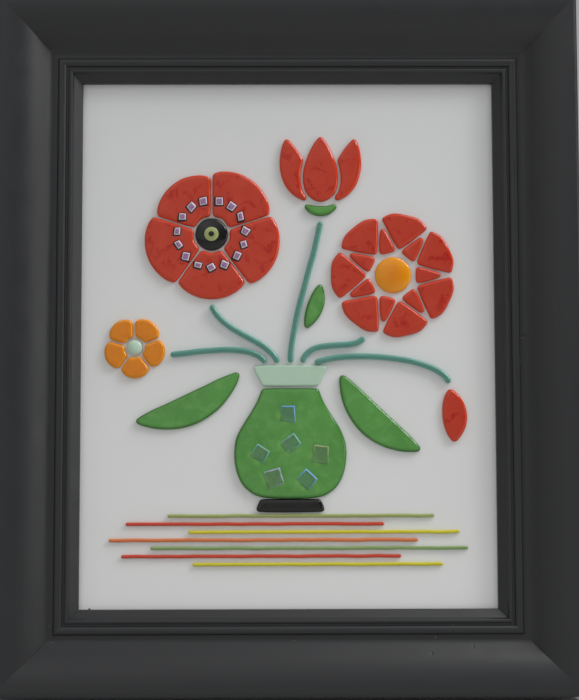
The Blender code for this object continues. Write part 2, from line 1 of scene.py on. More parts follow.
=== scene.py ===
"""Looks of the framed fused-glass picture: fine frame, melted glass, materials, light and camera.

Each glass piece takes its outline from the CAD piece that it replaces, and its surface is a height
over the white sheet that depends on the distance to that outline. Metres, +Z up, front towards -Y.
"""

import random
from math import ceil, cos, exp, hypot, pi, radians, sin, sqrt
from typing import NamedTuple

import bmesh
import bpy
import numpy as np
from mathutils import Euler, Matrix, Vector, noise
from mathutils.geometry import delaunay_2d_cdt, tessellate_polygon


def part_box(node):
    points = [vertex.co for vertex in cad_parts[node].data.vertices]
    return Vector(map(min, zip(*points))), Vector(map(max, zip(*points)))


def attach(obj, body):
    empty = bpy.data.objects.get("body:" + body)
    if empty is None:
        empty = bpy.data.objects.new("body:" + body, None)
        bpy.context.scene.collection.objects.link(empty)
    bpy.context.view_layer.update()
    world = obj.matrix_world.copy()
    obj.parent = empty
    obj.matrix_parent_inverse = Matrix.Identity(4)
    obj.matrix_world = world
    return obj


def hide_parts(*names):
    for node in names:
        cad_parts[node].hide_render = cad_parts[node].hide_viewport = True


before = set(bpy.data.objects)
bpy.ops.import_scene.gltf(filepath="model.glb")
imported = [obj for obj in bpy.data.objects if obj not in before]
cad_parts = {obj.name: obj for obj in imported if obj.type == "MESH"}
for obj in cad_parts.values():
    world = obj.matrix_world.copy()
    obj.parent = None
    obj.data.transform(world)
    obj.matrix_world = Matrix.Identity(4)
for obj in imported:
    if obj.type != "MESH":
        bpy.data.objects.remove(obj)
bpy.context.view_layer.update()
scene = bpy.context.scene

MM = 0.001
BODY = "root"
SAME_PLACE = 0.01 * MM

# Places that the frame gives
SHEET_FACE_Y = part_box("base_sheet")[0].y
BOARD_BACK_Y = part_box("backing_board")[1].y
RAIL_BACK_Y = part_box("frame_top_rail")[1].y
OUTER_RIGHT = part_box("frame_top_rail")[1].x
OUTER_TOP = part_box("frame_top_rail")[1].z
OUTER_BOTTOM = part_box("frame_bottom_rail")[0].z
SIGHT_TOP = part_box("frame_top_rail")[0].z
MOULDING_W = OUTER_TOP - SIGHT_TOP
MOULDING_T = RAIL_BACK_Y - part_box("frame_top_rail")[0].y
SIGHT_W = 2 * (OUTER_RIGHT - MOULDING_W)
SIGHT_H = OUTER_TOP - OUTER_BOTTOM - 2 * MOULDING_W
SIGHT_Z = (OUTER_TOP + OUTER_BOTTOM) / 2

# Moulding section, from the opening outward, as the solids have it
LIP_W = 6.0 * MM
LIP_EDGE_T = 3.5 * MM
LIP_EDGE_R = 0.5 * MM
LIP_RISE = 5.0 * MM
SMALL_BEAD_W = 3.2 * MM
SMALL_BEAD_H = 1.4 * MM
BEAD_SPACE_W = 1.3 * MM
LARGE_BEAD_W = 6.3 * MM
LARGE_BEAD_H = 2.2 * MM
GROOVE_W = 3.5 * MM
GROOVE_D = 0.15 * MM
CREST_REACH = 0.62
GROOVE_REACH = 0.17
GROOVE_LIFT = 0.10
REBATE_W = 6.5 * MM
REBATE_T = 14 * MM
OUTER_EDGE_R = 3 * MM
BACK_EDGE_R = 0.8 * MM
LIP_TOP_T = REBATE_T + LIP_EDGE_T + LIP_RISE

# Camera: where it stands from the middle of the opening, and how it is turned from straight ahead
CAMERA_FROM_OPENING = Vector((-5.9, -1001.5, -80.6)) * MM
CAMERA_UP_DEG = 4.315
CAMERA_ROLL_DEG = 0.099
CAMERA_LEFT_DEG = 0.395
CAMERA_LENS_MM = 73.5
IMAGE_LONG_SIDE_MM = 36.0


# Materials

def fill(tree, node, sockets):
    """Give sockets a value or a link, by their place or their name with underscores."""
    for key, value in sockets.items():
        socket = node.inputs[key if isinstance(key, int) else key.replace("_", " ")]
        if isinstance(value, bpy.types.NodeSocket):
            tree.links.new(value, socket)
        else:
            socket.default_value = value


def add_node(tree, kind, *values, operation=None, **sockets):
    node = tree.nodes.new("ShaderNode" + kind)
    if operation:
        node.operation = operation
    fill(tree, node, dict(enumerate(values)) | sockets)
    return node


# Sockets of the Mix node for colours
MIX_SHARE, MIX_UNDER, MIX_OVER = 0, 6, 7
MIX_RESULT = 2

GLASS_IOR = 1.5
# Mesh attributes
EDGE = "edge"
PAINTED_GLOW = "glow"
NICK = "nick"


class Finish:
    """A node material around one Principled shader.

    Its patterns lie in object space, with their sizes and depths in millimetres.
    """

    def __init__(self, name, colour, roughness, **sockets):
        self.material = bpy.data.materials.new(name)
        self.material.use_nodes = True
        self.tree = self.material.node_tree
        self.shader = self.tree.nodes["Principled BSDF"]
        self.put(Base_Color=(*colour, 1.0), Roughness=roughness, **{"IOR": GLASS_IOR, **sockets})
        self.place = self.add("TexCoord").outputs["Object"]

    def put(self, **sockets):
        """Fill sockets of the shader."""
        fill(self.tree, self.shader, sockets)
        return self

    def add(self, kind, *values, **sockets):
        return add_node(self.tree, kind, *values, **sockets)

    def noise(self, size, detail=2.0, stretch=None, distortion=0.0):
        """Noise between 0 and 1, its features about the given size."""
        place = self.place
        if stretch:
            place = self.add("Mapping", Scale=stretch, Vector=place).outputs["Vector"]
        return self.add("TexNoise", Scale=1 / (size * MM), Detail=detail, Distortion=distortion,
                        Vector=place).outputs["Fac"]

    def cells(self, size):
        """Distance to the nearest of many scattered points, in cells."""
        texture = self.add("TexVoronoi", Scale=1 / (size * MM), Vector=self.place)
        return texture.outputs["Distance"]

    def ranged(self, value, low, high, new_low=0.0, new_high=1.0):
        """Value mapped from one range to another, and kept inside it."""
        return self.add("MapRange", Value=value, From_Min=low, From_Max=high, To_Min=new_low,
                        To_Max=new_high).outputs["Result"]

    def blend(self, share, colour):
        """Mix another colour over the base colour by a varying share."""
        mix = self.add("Mix")
        mix.data_type = "RGBA"
        base = self.shader.inputs["Base Color"]
        under = base.links[0].from_socket if base.is_linked else base.default_value
        fill(self.tree, mix, {MIX_SHARE: share, MIX_UNDER: under, MIX_OVER: (*colour, 1.0)})
        return self.put(Base_Color=mix.outputs[MIX_RESULT])

    def patches(self, size, start, full, share, colour, **pattern):
        """Another colour, up to a share of it, where noise goes from start to full."""
        varying = self.ranged(self.noise(size, **pattern), start, full, 0.0, share)
        return self.blend(varying, colour)

    def tint(self, attribute, colour, *span):
        """Another colour by a mesh attribute, or as the attribute goes over a span."""
        reader = self.add("Attribute")
        reader.attribute_name = attribute
        share = reader.outputs["Fac"]
        return self.blend(self.ranged(share, *span) if span else share, colour)

    def uneven_gloss(self, size, low, high):
        varying = self.ranged(self.noise(size, detail=3), 0.3, 0.7, low, high)
        return self.put(Roughness=varying)

    def bump(self, height, depth):
        """Bump of a height map, its full range the given depth."""
        bump = self.add("Bump", Distance=depth * MM, Height=height)
        normal = self.shader.inputs["Normal"]
        if normal.is_linked:
            fill(self.tree, bump, {"Normal": normal.links[0].from_socket})
        return self.put(Normal=bump.outputs["Normal"])

    def rough(self, size, depth, **pattern):
        return self.bump(self.noise(size, **pattern), depth)


def opal_white():
    finish = Finish("white_opal_glass", (0.73, 0.738, 0.738), 0.07)
    finish.patches(38, 0.35, 0.65, 0.5, (0.71, 0.722, 0.725), detail=3)
    # Painted light: the sheet is made lighter towards the bottom, where more light falls on it.
    height = finish.add("SeparateXYZ", Vector=finish.place).outputs["Z"]
    finish.blend(finish.ranged(height, SIGHT_Z + 0.15, SIGHT_Z - 0.18), (0.825, 0.832, 0.828))
    return finish.rough(16, 0.06, detail=1)


def rod_glass(name, colour, edge_colour, see_through=0.0):
    return (Finish(name, colour, 0.10, Transmission_Weight=see_through)
            # Lighter colour along the rims: painted light, for light shining through the thin edge.
            .tint(EDGE, edge_colour)
            .patches(2.2, 0.5, 0.75, 0.35, edge_colour, stretch=(0.15, 1, 1))
            .rough(3, 0.03, detail=1))


def iridescent_glass(name, tint, colour, other_colour):
    """Clear middle of a chip, and its rim, where a thin film shows a colour that drifts."""
    return [Finish(name + "_clear_glass", tint, 0.05, IOR=1.33, Transmission_Weight=0.94)
            .patches(3, 0.4, 0.65, 1.0, (0.80, 1.0, 0.88))
            .rough(2.5, 0.03),
            Finish(name + "_film_glass", colour, 0.12, Transmission_Weight=0.25)
            .patches(5, 0.42, 0.60, 1.0, other_colour, detail=1)
            .rough(2.5, 0.03)]


def drawn_out(axis, share):
    """Scales that draw a pattern out along one axis."""
    return tuple(share if letter == axis else 1.0 for letter in "XYZ")


def frame_paint(axis):
    """Black satin paint over wood, with a faint grain along one axis, dust, and nicks darkened with
    painted shade.
    """
    finish = Finish("frame_paint_along_" + axis.lower(), (0.0172, 0.0182, 0.0202), 0.42)
    grain = finish.noise(1.1, detail=4, stretch=drawn_out(axis, 0.03))
    finish.blend(finish.ranged(grain, 0.52, 0.72, 0.0, 0.35), (0.024, 0.025, 0.027))
    dust = finish.ranged(finish.cells(2.6), 0.055, 0.035)
    rare = finish.ranged(finish.noise(7, detail=1), 0.56, 0.62, 0.0, 0.5)
    scattered = finish.add("Math", dust, rare, operation="MULTIPLY").outputs["Value"]
    # The nicks are darkened with painted shade in their dents.
    finish.blend(scattered, (0.16, 0.155, 0.15)).tint(NICK, (0.003, 0.003, 0.003))
    finish.uneven_gloss(18, 0.36, 0.46).bump(grain, 0.035)
    return finish.rough(0.8, 0.02)


def bare_wood(axis):
    """Back of the moulding: plain pale wood with its grain along one axis."""
    finish = Finish("bare_wood_along_" + axis.lower(), (0.42, 0.29, 0.17), 0.72)
    grain = finish.noise(1.6, detail=5, stretch=drawn_out(axis, 0.02), distortion=0.3)
    finish.blend(finish.ranged(grain, 0.42, 0.62), (0.31, 0.20, 0.11))
    finish.rough(0.9, 0.05, detail=1, stretch=drawn_out(axis, 0.6))
    return finish.bump(grain, 0.08)


def zinc():
    finish = Finish("zinc_plate", (0.60, 0.60, 0.585), 0.34, Metallic=1.0)
    spangle = finish.ranged(finish.cells(1.4), 0.2, 0.8, 0.0, 0.6)
    finish.blend(spangle, (0.47, 0.475, 0.47)).uneven_gloss(2, 0.26, 0.45)
    return finish.rough(0.6, 0.012, detail=3, stretch=(0.2, 1, 1))


FINISHES = {
    "white_glass": opal_white(),
    "red_glass": Finish("red_opaque_glass", (0.52, 0.040, 0.0135), 0.05, Subsurface_Weight=0.12,
                        Subsurface_Scale=0.9 * MM, Subsurface_Radius=(1.0, 0.25, 0.12))
    # Darker red patches: partly the glass's own mottling, partly painted shade where the wavy front
    # reflects less of the room.
    .patches(7.5, 0.54, 0.64, 0.8, (0.42, 0.004, 0.001), distortion=0.7)
    .patches(16, 0.50, 0.70, 0.5, (0.56, 0.056, 0.025), detail=1)
    # Brighter red along the rims: painted light, for light shining through the thin edge.
    .tint(EDGE, (0.64, 0.050, 0.012), 0.0, 0.6)
    .rough(7, 0.06, detail=1),
    "black_glass": Finish("black_glass", (0.006, 0.006, 0.006), 0.08)
    .patches(4, 0.5, 0.7, 0.5, (0.011, 0.011, 0.011))
    .rough(6, 0.04, detail=1),
    "orange_glass": Finish("orange_glass", (0.73, 0.225, 0.002), 0.05, Subsurface_Weight=0.10,
                           Subsurface_Scale=1.0 * MM, Subsurface_Radius=(1.0, 0.5, 0.1))
    .patches(5, 0.5, 0.68, 0.6, (0.68, 0.175, 0.001))
    # Brighter orange along the rims: painted light, for light shining through the thin edge.
    .tint(EDGE, (0.84, 0.32, 0.004))
    .rough(5, 0.04, detail=1),
    "green_glass": Finish("green_clear_glass", (0.136, 0.435, 0.088), 0.05,
                          Transmission_Weight=0.35)
    .patches(9, 0.45, 0.68, 0.7, (0.203, 0.54, 0.134), detail=3, distortion=0.6)
    # Lighter green beside the chips: painted light, for the light that the clear chips gather into
    # the glass.
    .tint(PAINTED_GLOW, (0.29, 0.66, 0.16))
    # Darker green along the rims: painted shade at the thin edge.
    .tint(EDGE, (0.055, 0.24, 0.03))
    .rough(7, 0.05, detail=1),
    "mint_glass": Finish("mint_opaline_glass", (0.54, 0.75, 0.58), 0.09, Transmission_Weight=0.15)
    # Lighter mint along the rims: painted light, for light shining through the thin edge.
    .tint(EDGE, (0.62, 0.79, 0.66))
    .patches(4, 0.5, 0.7, 0.4, (0.51, 0.75, 0.57)),
    "teal_glass": rod_glass("teal_rod_glass", (0.10, 0.31, 0.245), (0.20, 0.50, 0.42), 0.25),
    "lime_glass": rod_glass("lime_rod_glass", (0.37, 0.46, 0.12), (0.50, 0.57, 0.24), 0.25),
    "green_rod": rod_glass("green_rod_glass", (0.25, 0.42, 0.13), (0.38, 0.54, 0.24), 0.25),
    "yellow_glass": rod_glass("yellow_rod_glass", (0.62, 0.56, 0.02), (0.70, 0.64, 0.05)),
    "coral_glass": rod_glass("coral_rod_glass", (0.66, 0.165, 0.05), (0.72, 0.22, 0.08)),
    "red_rod": rod_glass("red_rod_glass", (0.57, 0.045, 0.022), (0.62, 0.07, 0.03)),
    # Lilac on top, with a pale bevel and a black side. The bevel's pale colour is a painted
    # reflection of the light.
    "lilac_chip": Finish("lilac_chip_glass", (0.34, 0.20, 0.37), 0.20)
    .patches(1.4, 0.50, 0.62, 0.8, (0.19, 0.085, 0.18), detail=3)
    .tint(EDGE, (0.78, 0.64, 0.72), 0.12, 0.42)
    .tint(EDGE, (0.008, 0.006, 0.007), 0.93, 0.985)
    .rough(0.9, 0.02),
    "dust": Finish("dust", (0.30, 0.29, 0.27), 0.9)
    .patches(0.3, 0.4, 0.6, 1.0, (0.20, 0.19, 0.18)),
    "dark_speck": Finish("dark_speck", (0.03, 0.028, 0.026), 0.5)
    .patches(0.3, 0.4, 0.6, 1.0, (0.06, 0.055, 0.05)),
    "board_brown": Finish("hardboard", (0.21, 0.125, 0.062), 0.78)
    .patches(0.9, 0.4, 0.65, 1.0, (0.29, 0.19, 0.105), detail=5)
    .patches(45, 0.45, 0.7, 0.3, (0.16, 0.09, 0.045), detail=3)
    .rough(1.3, 0.06, detail=4, stretch=(1.0, 1.0, 0.35)),
    "zinc": zinc(),
    "rubber_grey": Finish("grey_rubber", (0.045, 0.045, 0.046), 0.85)
    .patches(1.5, 0.45, 0.7, 0.6, (0.075, 0.073, 0.07), detail=4)
    .rough(0.35, 0.03),
    "floor": Finish("pale_floor", (0.62, 0.62, 0.61), 0.8)
    .patches(500, 0.4, 0.6, 0.5, (0.60, 0.60, 0.59), detail=3),
}
RAIL_FINISHES = {axis: [frame_paint(axis), bare_wood(axis)] for axis in "XZ"}


# Pieces

def new_object(name, data):
    obj = bpy.data.objects.new(name, data)
    scene.collection.objects.link(obj)
    return obj


def add_piece(name, mesh, finishes, nodes=()):
    """Object of a finished mesh, riding on the body and standing for its CAD nodes."""
    for finish in finishes:
        mesh.materials.append(finish.material)
    mesh.shade_smooth()
    obj = new_object(name, mesh)
    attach(obj, BODY)
    if nodes:
        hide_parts(*nodes)
    return obj


def mesh_from(name, vertices, faces):
    mesh = bpy.data.meshes.new(name)
    mesh.from_pydata([tuple(v) for v in vertices], [], faces)
    mesh.validate()
    mesh.update()
    return mesh


def quads(*corners):
    """Four-sided faces from four blocks of vertex numbers."""
    return list(zip(*(block.flat for block in corners)))


def set_values(mesh, attribute, values):
    mesh.attributes.new(attribute, "FLOAT", "POINT").data.foreach_set("value", values)


def fix_shading(mesh, sharp_deg):
    """Turn every face of a closed mesh outward, and keep its edges of such an angle sharp."""
    shape = bmesh.new()
    shape.from_mesh(mesh)
    bmesh.ops.recalc_face_normals(shape, faces=shape.faces)
    shape.to_mesh(mesh)
    shape.free()
    mesh.set_sharp_from_angle(angle=radians(sharp_deg))


def middle_and_radius(node):
    """Middle of a round CAD node's box, as (x, z), and its radius."""
    low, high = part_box(node)
    return ((low.x + high.x) / 2, (low.z + high.z) / 2), (high.x - low.x) / 2


# Outlines, as (x, z) rows in metres, anticlockwise seen from the front

POINTS_AT_ONCE = 1500


def welded(node):
    """The CAD node's mesh with its split corners merged."""
    shape = bmesh.new()
    shape.from_mesh(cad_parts[node].data)
    bmesh.ops.remove_doubles(shape, verts=shape.verts, dist=SAME_PLACE)
    return shape


def loops_around(faces):
    """Closed outlines around a set of faces, each a list of vertices."""
    chosen = set(faces)
    following = {}
    for face in faces:
        for loop in face.loops:
            if any(other not in chosen for other in loop.edge.link_faces):
                following[loop.vert] = loop.link_loop_next.vert
    outlines = []
    while following:
        first = next(iter(following))
        outline = [first]
        step = following.pop(first)
        while step is not first:
            outline.append(step)
            step = following.pop(step)
        outlines.append(outline)
    return outlines


def flat_outlines(node, side):
    """Outlines of the CAD node's flat faces furthest to the back (side 1) or front (side -1)."""
    shape = welded(node)
    end = max(side * v.co.y for v in shape.verts)
    faces = [f for f in shape.faces if all(end - side * v.co.y < SAME_PLACE for v in f.verts)]
    outlines = []
    for loop in loops_around(faces):
        points = np.array([(v.co.x, v.co.z) for v in loop])
        after = np.roll(points, -1, axis=0)
        area = (points[:, 0] * after[:, 1] - points[:, 1] * after[:, 0]).sum()
        outlines.append(points if area > 0 else points[::-1])
    shape.free()
    return outlines


def evenly_spaced(points, spacing, closed=True):
    """Points the same distance apart along a line."""
    path = np.vstack([points, points[:1]]) if closed else points
    lengths = np.concatenate([[0], np.cumsum(np.linalg.norm(np.diff(path, axis=0), axis=1))])
    count = max(3, round(lengths[-1] / spacing))
    places = np.linspace(0, lengths[-1], count + 1)
    found = np.column_stack([np.interp(places, lengths, path[:, axis]) for axis in (0, 1)])
    return found[:-1] if closed else found


def curved_through(points, closed=True, fine=0.3 * MM):
    """Smooth line through the points, by centripetal Catmull-Rom curves."""
    if closed:
        padded = np.vstack([points[-1:], points, points[:2]])
    else:
        padded = np.vstack([2 * points[0] - points[1], points, 2 * points[-1] - points[-2]])
    result = []
    for p0, p1, p2, p3 in zip(padded, padded[1:], padded[2:], padded[3:]):
        knots = np.cumsum([0] + [max(np.linalg.norm(b - a), 1e-9) ** 0.5
                                 for a, b in ((p0, p1), (p1, p2), (p2, p3))])
        steps = max(1, ceil(np.linalg.norm(p2 - p1) / fine))
        t = np.linspace(knots[1], knots[2], steps, endpoint=False)[:, None]

        def between(a, b, start, end):
            return ((end - t) * a + (t - start) * b) / (end - start)

        level = [p0, p1, p2, p3]
        for reach in (1, 2):
            level = [between(a, b, start, end)
                     for a, b, start, end in zip(level, level[1:], knots, knots[reach:])]
        result.append(between(*level, knots[1], knots[2]))
    if not closed:
        result.append(points[-1:])
    return np.vstack(result)


def softened(points, reach, spacing):
    """Closed line of evenly spaced points, averaged along itself over a reach."""
    sigma = reach / spacing
    half = max(1, ceil(3 * sigma))
    weights = np.exp(-0.5 * (np.arange(-half, half + 1) / sigma) ** 2)
    weights /= weights.sum()
    return sum(w * np.roll(points, -k, axis=0) for k, w in zip(range(-half, half + 1), weights))


def inward_normals(points):
    along = np.roll(points, -1, axis=0) - np.roll(points, 1, axis=0)
    along /= np.linalg.norm(along, axis=1)[:, None]
    return np.column_stack([-along[:, 1], along[:, 0]])


def drift(points, size, seed, pattern=noise.noise):
    """Slow change from point to point, between about -1 and 1."""
    return np.array([pattern(Vector((x / size, z / size, seed))) for x, z in points])


def hand_cut(points, spacing, seed, wander=0.12 * MM, soften=0.7 * MM, curved=True):
    """Outline with the slight unevenness of cut and melted glass."""
    path = evenly_spaced(curved_through(points) if curved else points, spacing)
    line = softened(path, soften, spacing)
    return line + inward_normals(line) * (drift(line, 9 * MM, seed)[:, None] * wander)


def in_chunks(function):
    """The same function of points and an outline, for some of the points at a time."""
    def whole(points, outline):
        chunks = np.array_split(points, max(1, len(points) // POINTS_AT_ONCE))
        return np.concatenate([function(chunk, outline) for chunk in chunks])
    return whole


@in_chunks
def distance_to(points, outline):
    """Distance of each point to a closed outline."""
    span = np.roll(outline, -1, axis=0) - outline
    rel = points[:, None] - outline[None]
    share = np.clip((rel * span).sum(2) / (span ** 2).sum(1), 0, 1)
    return np.sqrt(((rel - share[..., None] * span) ** 2).sum(2).min(1))


@in_chunks
def is_inside(points, outline):
    """Whether each point lies inside a closed outline."""
    after = np.roll(outline, -1, axis=0)
    x, z = points[:, :1], points[:, 1:]
    crosses = (outline[:, 1] > z) != (after[:, 1] > z)
    rise = np.where(crosses, after[:, 1] - outline[:, 1], 1)
    at = outline[:, 0] + (z - outline[:, 1]) * (after[:, 0] - outline[:, 0]) / rise
    return (crosses & (x < at)).sum(1) % 2 == 1


def honeycomb(outline, cell):
    """Points in even triangles over the outline's box."""
    low, high = outline.min(0), outline.max(0)
    rows = []
    for i, z in enumerate(np.arange(low[1], high[1], cell * sqrt(3) / 2)):
        across = np.arange(low[0] + (i % 2) * cell / 2, high[0], cell)
        rows.append(np.column_stack([across, np.full(len(across), z)]))
    return np.vstack(rows)


def circle(centre, radius, spacing):
    count = max(24, round(2 * pi * radius / spacing))
    angles = np.arange(count) * 2 * pi / count
    return np.column_stack([centre[0] + radius * np.cos(angles),
                            centre[1] + radius * np.sin(angles)])


# Melted glass

SWELL_REACH = 5 * MM
DENT_D = 0.22 * MM
DENT_REACH = 0.8 * MM
EDGE_FADE = 0.55
SIDE_STEPS = 3


class Melt(NamedTuple):
    """How a piece has melted. Heights are over the white sheet's face."""

    top: float
    rim: float
    waist: float = 0.9 * MM
    foot: float = -0.05 * MM
    tuck: float = 0.15 * MM
    lean: tuple = (0.0, 0.0)
    bevelled: bool = False
    swell: float = 0.0
    wave: float = 0.0
    wave_size: float = 8 * MM
    cell: float = 0.9 * MM
    steps: int = 6
    spacing: float = 0.55 * MM
    dents: tuple = ()
    glows: tuple = ()

    def glow(self, points):
        """Share of painted light, standing for the light that glass above gathers beside itself."""
        total = np.zeros(len(points))
        for centre, reach, strength in self.glows:
            away = np.linalg.norm(points - centre, axis=1)
            total += strength * np.exp(-(away / reach) ** 2)
        return np.minimum(total, 1.0)

    def height(self, points, distance, seed):
        """Height of the front at points with their distance to the outline."""
        share = np.clip(distance / self.rim, 0, 1)
        curve = share if self.bevelled else np.sqrt(1 - (1 - share) ** 2)
        height = self.waist + (self.top - self.waist) * curve
        height += self.swell * (1 - np.exp(-distance / SWELL_REACH))
        if self.wave:
            waves = drift(points, self.wave_size, seed, lambda p: noise.fractal(p, 1.0, 2.0, 2))
            height += self.wave * waves * np.clip(distance / (2 * self.rim), 0, 1)
        for square in self.dents:
            off = np.where(is_inside(points, square), 0, distance_to(points, square))
            height -= DENT_D * np.exp(-(off / DENT_REACH) ** 2)
        return height


def front_points(outline, normals, melt):
    """Outline, rings of points inside it, closer together at the rim, and an even filling."""
    rings = [melt.rim * (1 - cos(pi / 2 * k / melt.steps))
             for k in range(1, melt.steps + 1)]
    if melt.cell:
        rings.append(rings[-1] + 0.7 * melt.cell)
    points = [outline]
    for i, inset in enumerate(rings):
        stride = 2 if i >= melt.steps - 1 else 1
        ring = (outline + normals * inset)[::stride]
        points.append(ring[distance_to(ring, outline) > 0.96 * inset])
    if melt.cell:
        inner = honeycomb(outline, melt.cell)
        inner = inner[is_inside(inner, outline)]
        if len(inner):
            reach = rings[-1] + 0.6 * melt.cell
            points.append(inner[distance_to(inner, outline) > reach])
    return np.vstack(points)


def melted_mesh(name, outline, melt, seed):
    """Closed mesh of a melted piece, with its nearness to the edge and its share of painted light
    as attributes.
    """
    normals = inward_normals(outline)
    count = len(outline)
    points = front_points(outline, normals, melt)
    found, _, faces, origins, _, _ = delaunay_2d_cdt(
        [Vector(p) for p in points], [], [list(range(count))], 1, 0.002 * MM)
    flat = np.array([tuple(p) for p in found])
    distance = distance_to(flat, outline)
    height = melt.height(flat, distance, seed)
    index = {j: i for i, sources in enumerate(origins) for j in sources}
    upper = np.array([index[i] for i in range(count)])
    height[upper] = melt.waist

    vertices = [(x, SHEET_FACE_Y - h, z) for (x, z), h in zip(flat, height)]
    edge = list(np.exp(-(distance / (EDGE_FADE * melt.rim)) ** 2))
    glow = list(melt.glow(flat))
    faces = [tuple(face) for face in faces]
    for step in range(1, SIDE_STEPS + 1):
        turn = pi / 2 * step / SIDE_STEPS
        down, inside = sin(turn), 1 - cos(turn)
        if melt.bevelled:
            down = inside = step / SIDE_STEPS
        drop = melt.waist + (melt.foot - melt.waist) * down
        ring = outline + (normals * melt.tuck + melt.lean) * inside
        lower = len(vertices) + np.arange(count)
        vertices.extend((x, SHEET_FACE_Y - drop, z) for x, z in ring)
        edge.extend([1.0] * count)
        glow.extend([0.0] * count)
        faces += quads(upper, lower, np.roll(lower, -1), np.roll(upper, -1))
        upper = lower
    _, _, under, sources, _, _ = delaunay_2d_cdt([Vector(p) for p in ring], [],
                                                 [list(range(count))], 1, 0.0001 * MM)
    faces.extend(tuple(upper[sources[i][0]] for i in reversed(face)) for face in under)
    mesh = mesh_from(name, vertices, faces)
    set_values(mesh, EDGE, edge)
    set_values(mesh, PAINTED_GLOW, glow)
    return mesh


def melted_piece(name, outline, melt, finish, seed, nodes=()):
    """Piece of one finish by its name in the table, or of a list of finishes."""
    finishes = finish if isinstance(finish, list) else [FINISHES[finish]]
    return add_piece(name, melted_mesh(name, outline, melt, seed), finishes, nodes)


PIECE_TOP = 3.1 * MM
LARGE_PIECE = Melt(top=PIECE_TOP, rim=2.6 * MM, swell=0.12 * MM, wave=0.16 * MM, wave_size=9 * MM)
SMALL_PIECE = Melt(top=PIECE_TOP, rim=2.3 * MM, swell=0.15 * MM, wave=0.07 * MM, wave_size=7 * MM,
                   cell=0.8 * MM)
VASE_BODY = LARGE_PIECE._replace(top=3.3 * MM, wave=0.22 * MM)
VASE_COLLAR = SMALL_PIECE._replace(top=2.3 * MM, rim=1.5 * MM, waist=0.6 * MM, swell=0.05 * MM)
CHIP_TOP = 4.0 * MM
POPPY_CHIP = Melt(top=CHIP_TOP + 0.35 * MM, rim=1.2 * MM, waist=3.65 * MM, foot=2.8 * MM,
                  tuck=-0.95 * MM, lean=(-0.3 * MM, -0.3 * MM), bevelled=True, cell=0.45 * MM,
                  spacing=0.3 * MM)
VASE_CHIP = Melt(top=CHIP_TOP, rim=0.9 * MM, waist=3.4 * MM, foot=2.6 * MM, tuck=0.1 * MM,
                 swell=-0.12 * MM, cell=0.7 * MM, spacing=0.35 * MM, steps=5)
# Rim of a drop, as a share of its radius
DROP_RIM = 0.98


def cut_piece(node, finish, melt, seed):
    """Cut piece of sheet glass in the place of its CAD node."""
    outline = hand_cut(flat_outlines(node, 1)[0], melt.spacing, seed)
    melted_piece(node + "_glass", outline, melt, finish, seed, (node,))


def drop(name, centre, radius, finish, seed, nodes=(), **shape):
    melt = Melt(rim=radius * DROP_RIM, cell=0, **shape)
    melted_piece(name, circle(centre, radius, melt.spacing), melt, finish, seed, nodes)


def dome(node, finish, seed):
    """Melted drop in the place of its CAD node."""
    centre, radius = middle_and_radius(node)
    drop(node + "_glass", centre, radius, finish, seed, (node,),
         top=SHEET_FACE_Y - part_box(node)[0].y, waist=1.0 * MM, tuck=0.3 * MM, steps=16,
         spacing=0.6 * MM)
    return centre, radius


def dot(name, centre, radius, low, top, finish, seed):
    """Drop melted into the top of another."""
    drop(name, centre, radius, finish, seed, top=top, waist=low + 0.15 * MM, foot=low - 0.5 * MM,
         tuck=0.1 * MM, steps=8, spacing=0.4 * MM)


# Chips

def chip_squares(node):
    """Outlines of the chips that stand proud of a CAD piece's front."""
    return [square for square in flat_outlines(node, -1) if len(square) == 4]


def uneven_square(square, seed, amount, inset, slim):
    """The chip's outline made smaller, narrower one way, and with each corner moved a little."""
    draw = random.Random(seed)
    centre = square.mean(0)
    width = np.linalg.norm(square[1] - square[0])
    side = (square[1] - square[0]) / width
    rel = (square - centre) * (1 - 2 * inset / width)
    rel -= np.outer(rel @ side, side) * draw.uniform(0, slim)
    return centre + rel + np.array([[draw.uniform(-amount, amount) for _ in range(2)]
                                    for _ in range(len(square))])


def chip(name, square, melt, finish, seed, uneven, inset, slim, wander, soften):
    """Square chip fused into the piece that carries it."""
    outline = hand_cut(uneven_square(square, seed, uneven, inset, slim), melt.spacing, seed,
                       wander, soften, curved=False)
    return melted_piece(name, outline, melt, finish, seed), outline


# Rods

def rod_line(node):
    """Centre line of a CAD rod, from the rings of corners along it."""
    shape = welded(node)
    rims = [e for e in shape.edges
            if len(e.link_faces) == 2 and e.calc_face_angle() > radians(70)]
    ring, more = set(), {rims[0].verts[0]}
    while more:
        ring |= more
        more = {v for e in rims for v in e.verts if ring & set(e.verts)} - ring
    seen = set(ring)
    line = []
    while ring:
        line.append((sum(v.co.x for v in ring) / len(ring), sum(v.co.z for v in ring) / len(ring)))
        ring = {e.other_vert(v) for v in ring for e in v.link_edges} - seen
        seen |= ring
    shape.free()
    return np.array(line)


def rod_outline(line, diameter, spacing, seed, wander):
    """Outline of a rod with rounded ends around its centre line."""
    path = evenly_spaced(curved_through(line, closed=False), spacing, closed=False)
    along = np.gradient(path, axis=0)
    along /= np.linalg.norm(along, axis=1)[:, None]
    right = np.column_stack([along[:, 1], -along[:, 0]])
    path = path + right * (drift(path, 14 * MM, seed) * wander)[:, None]
    reach = diameter / 2
    ends = max(4, round(pi * reach / spacing))
    keep = max(1, round(reach / spacing))
    body = path[keep:-keep]
    side = right[keep:-keep]
    angles = np.linspace(0, pi, ends + 1)[1:-1]

    def cap(centre, forward, outward):
        return np.array([centre + reach * (cos(a) * outward + sin(a) * forward)
                         for a in angles])

    return np.vstack([body + side * reach, cap(body[-1], along[-keep - 1], side[-1]),
                      body[::-1] - side[::-1] * reach, cap(body[0], -along[keep], -side[0])])


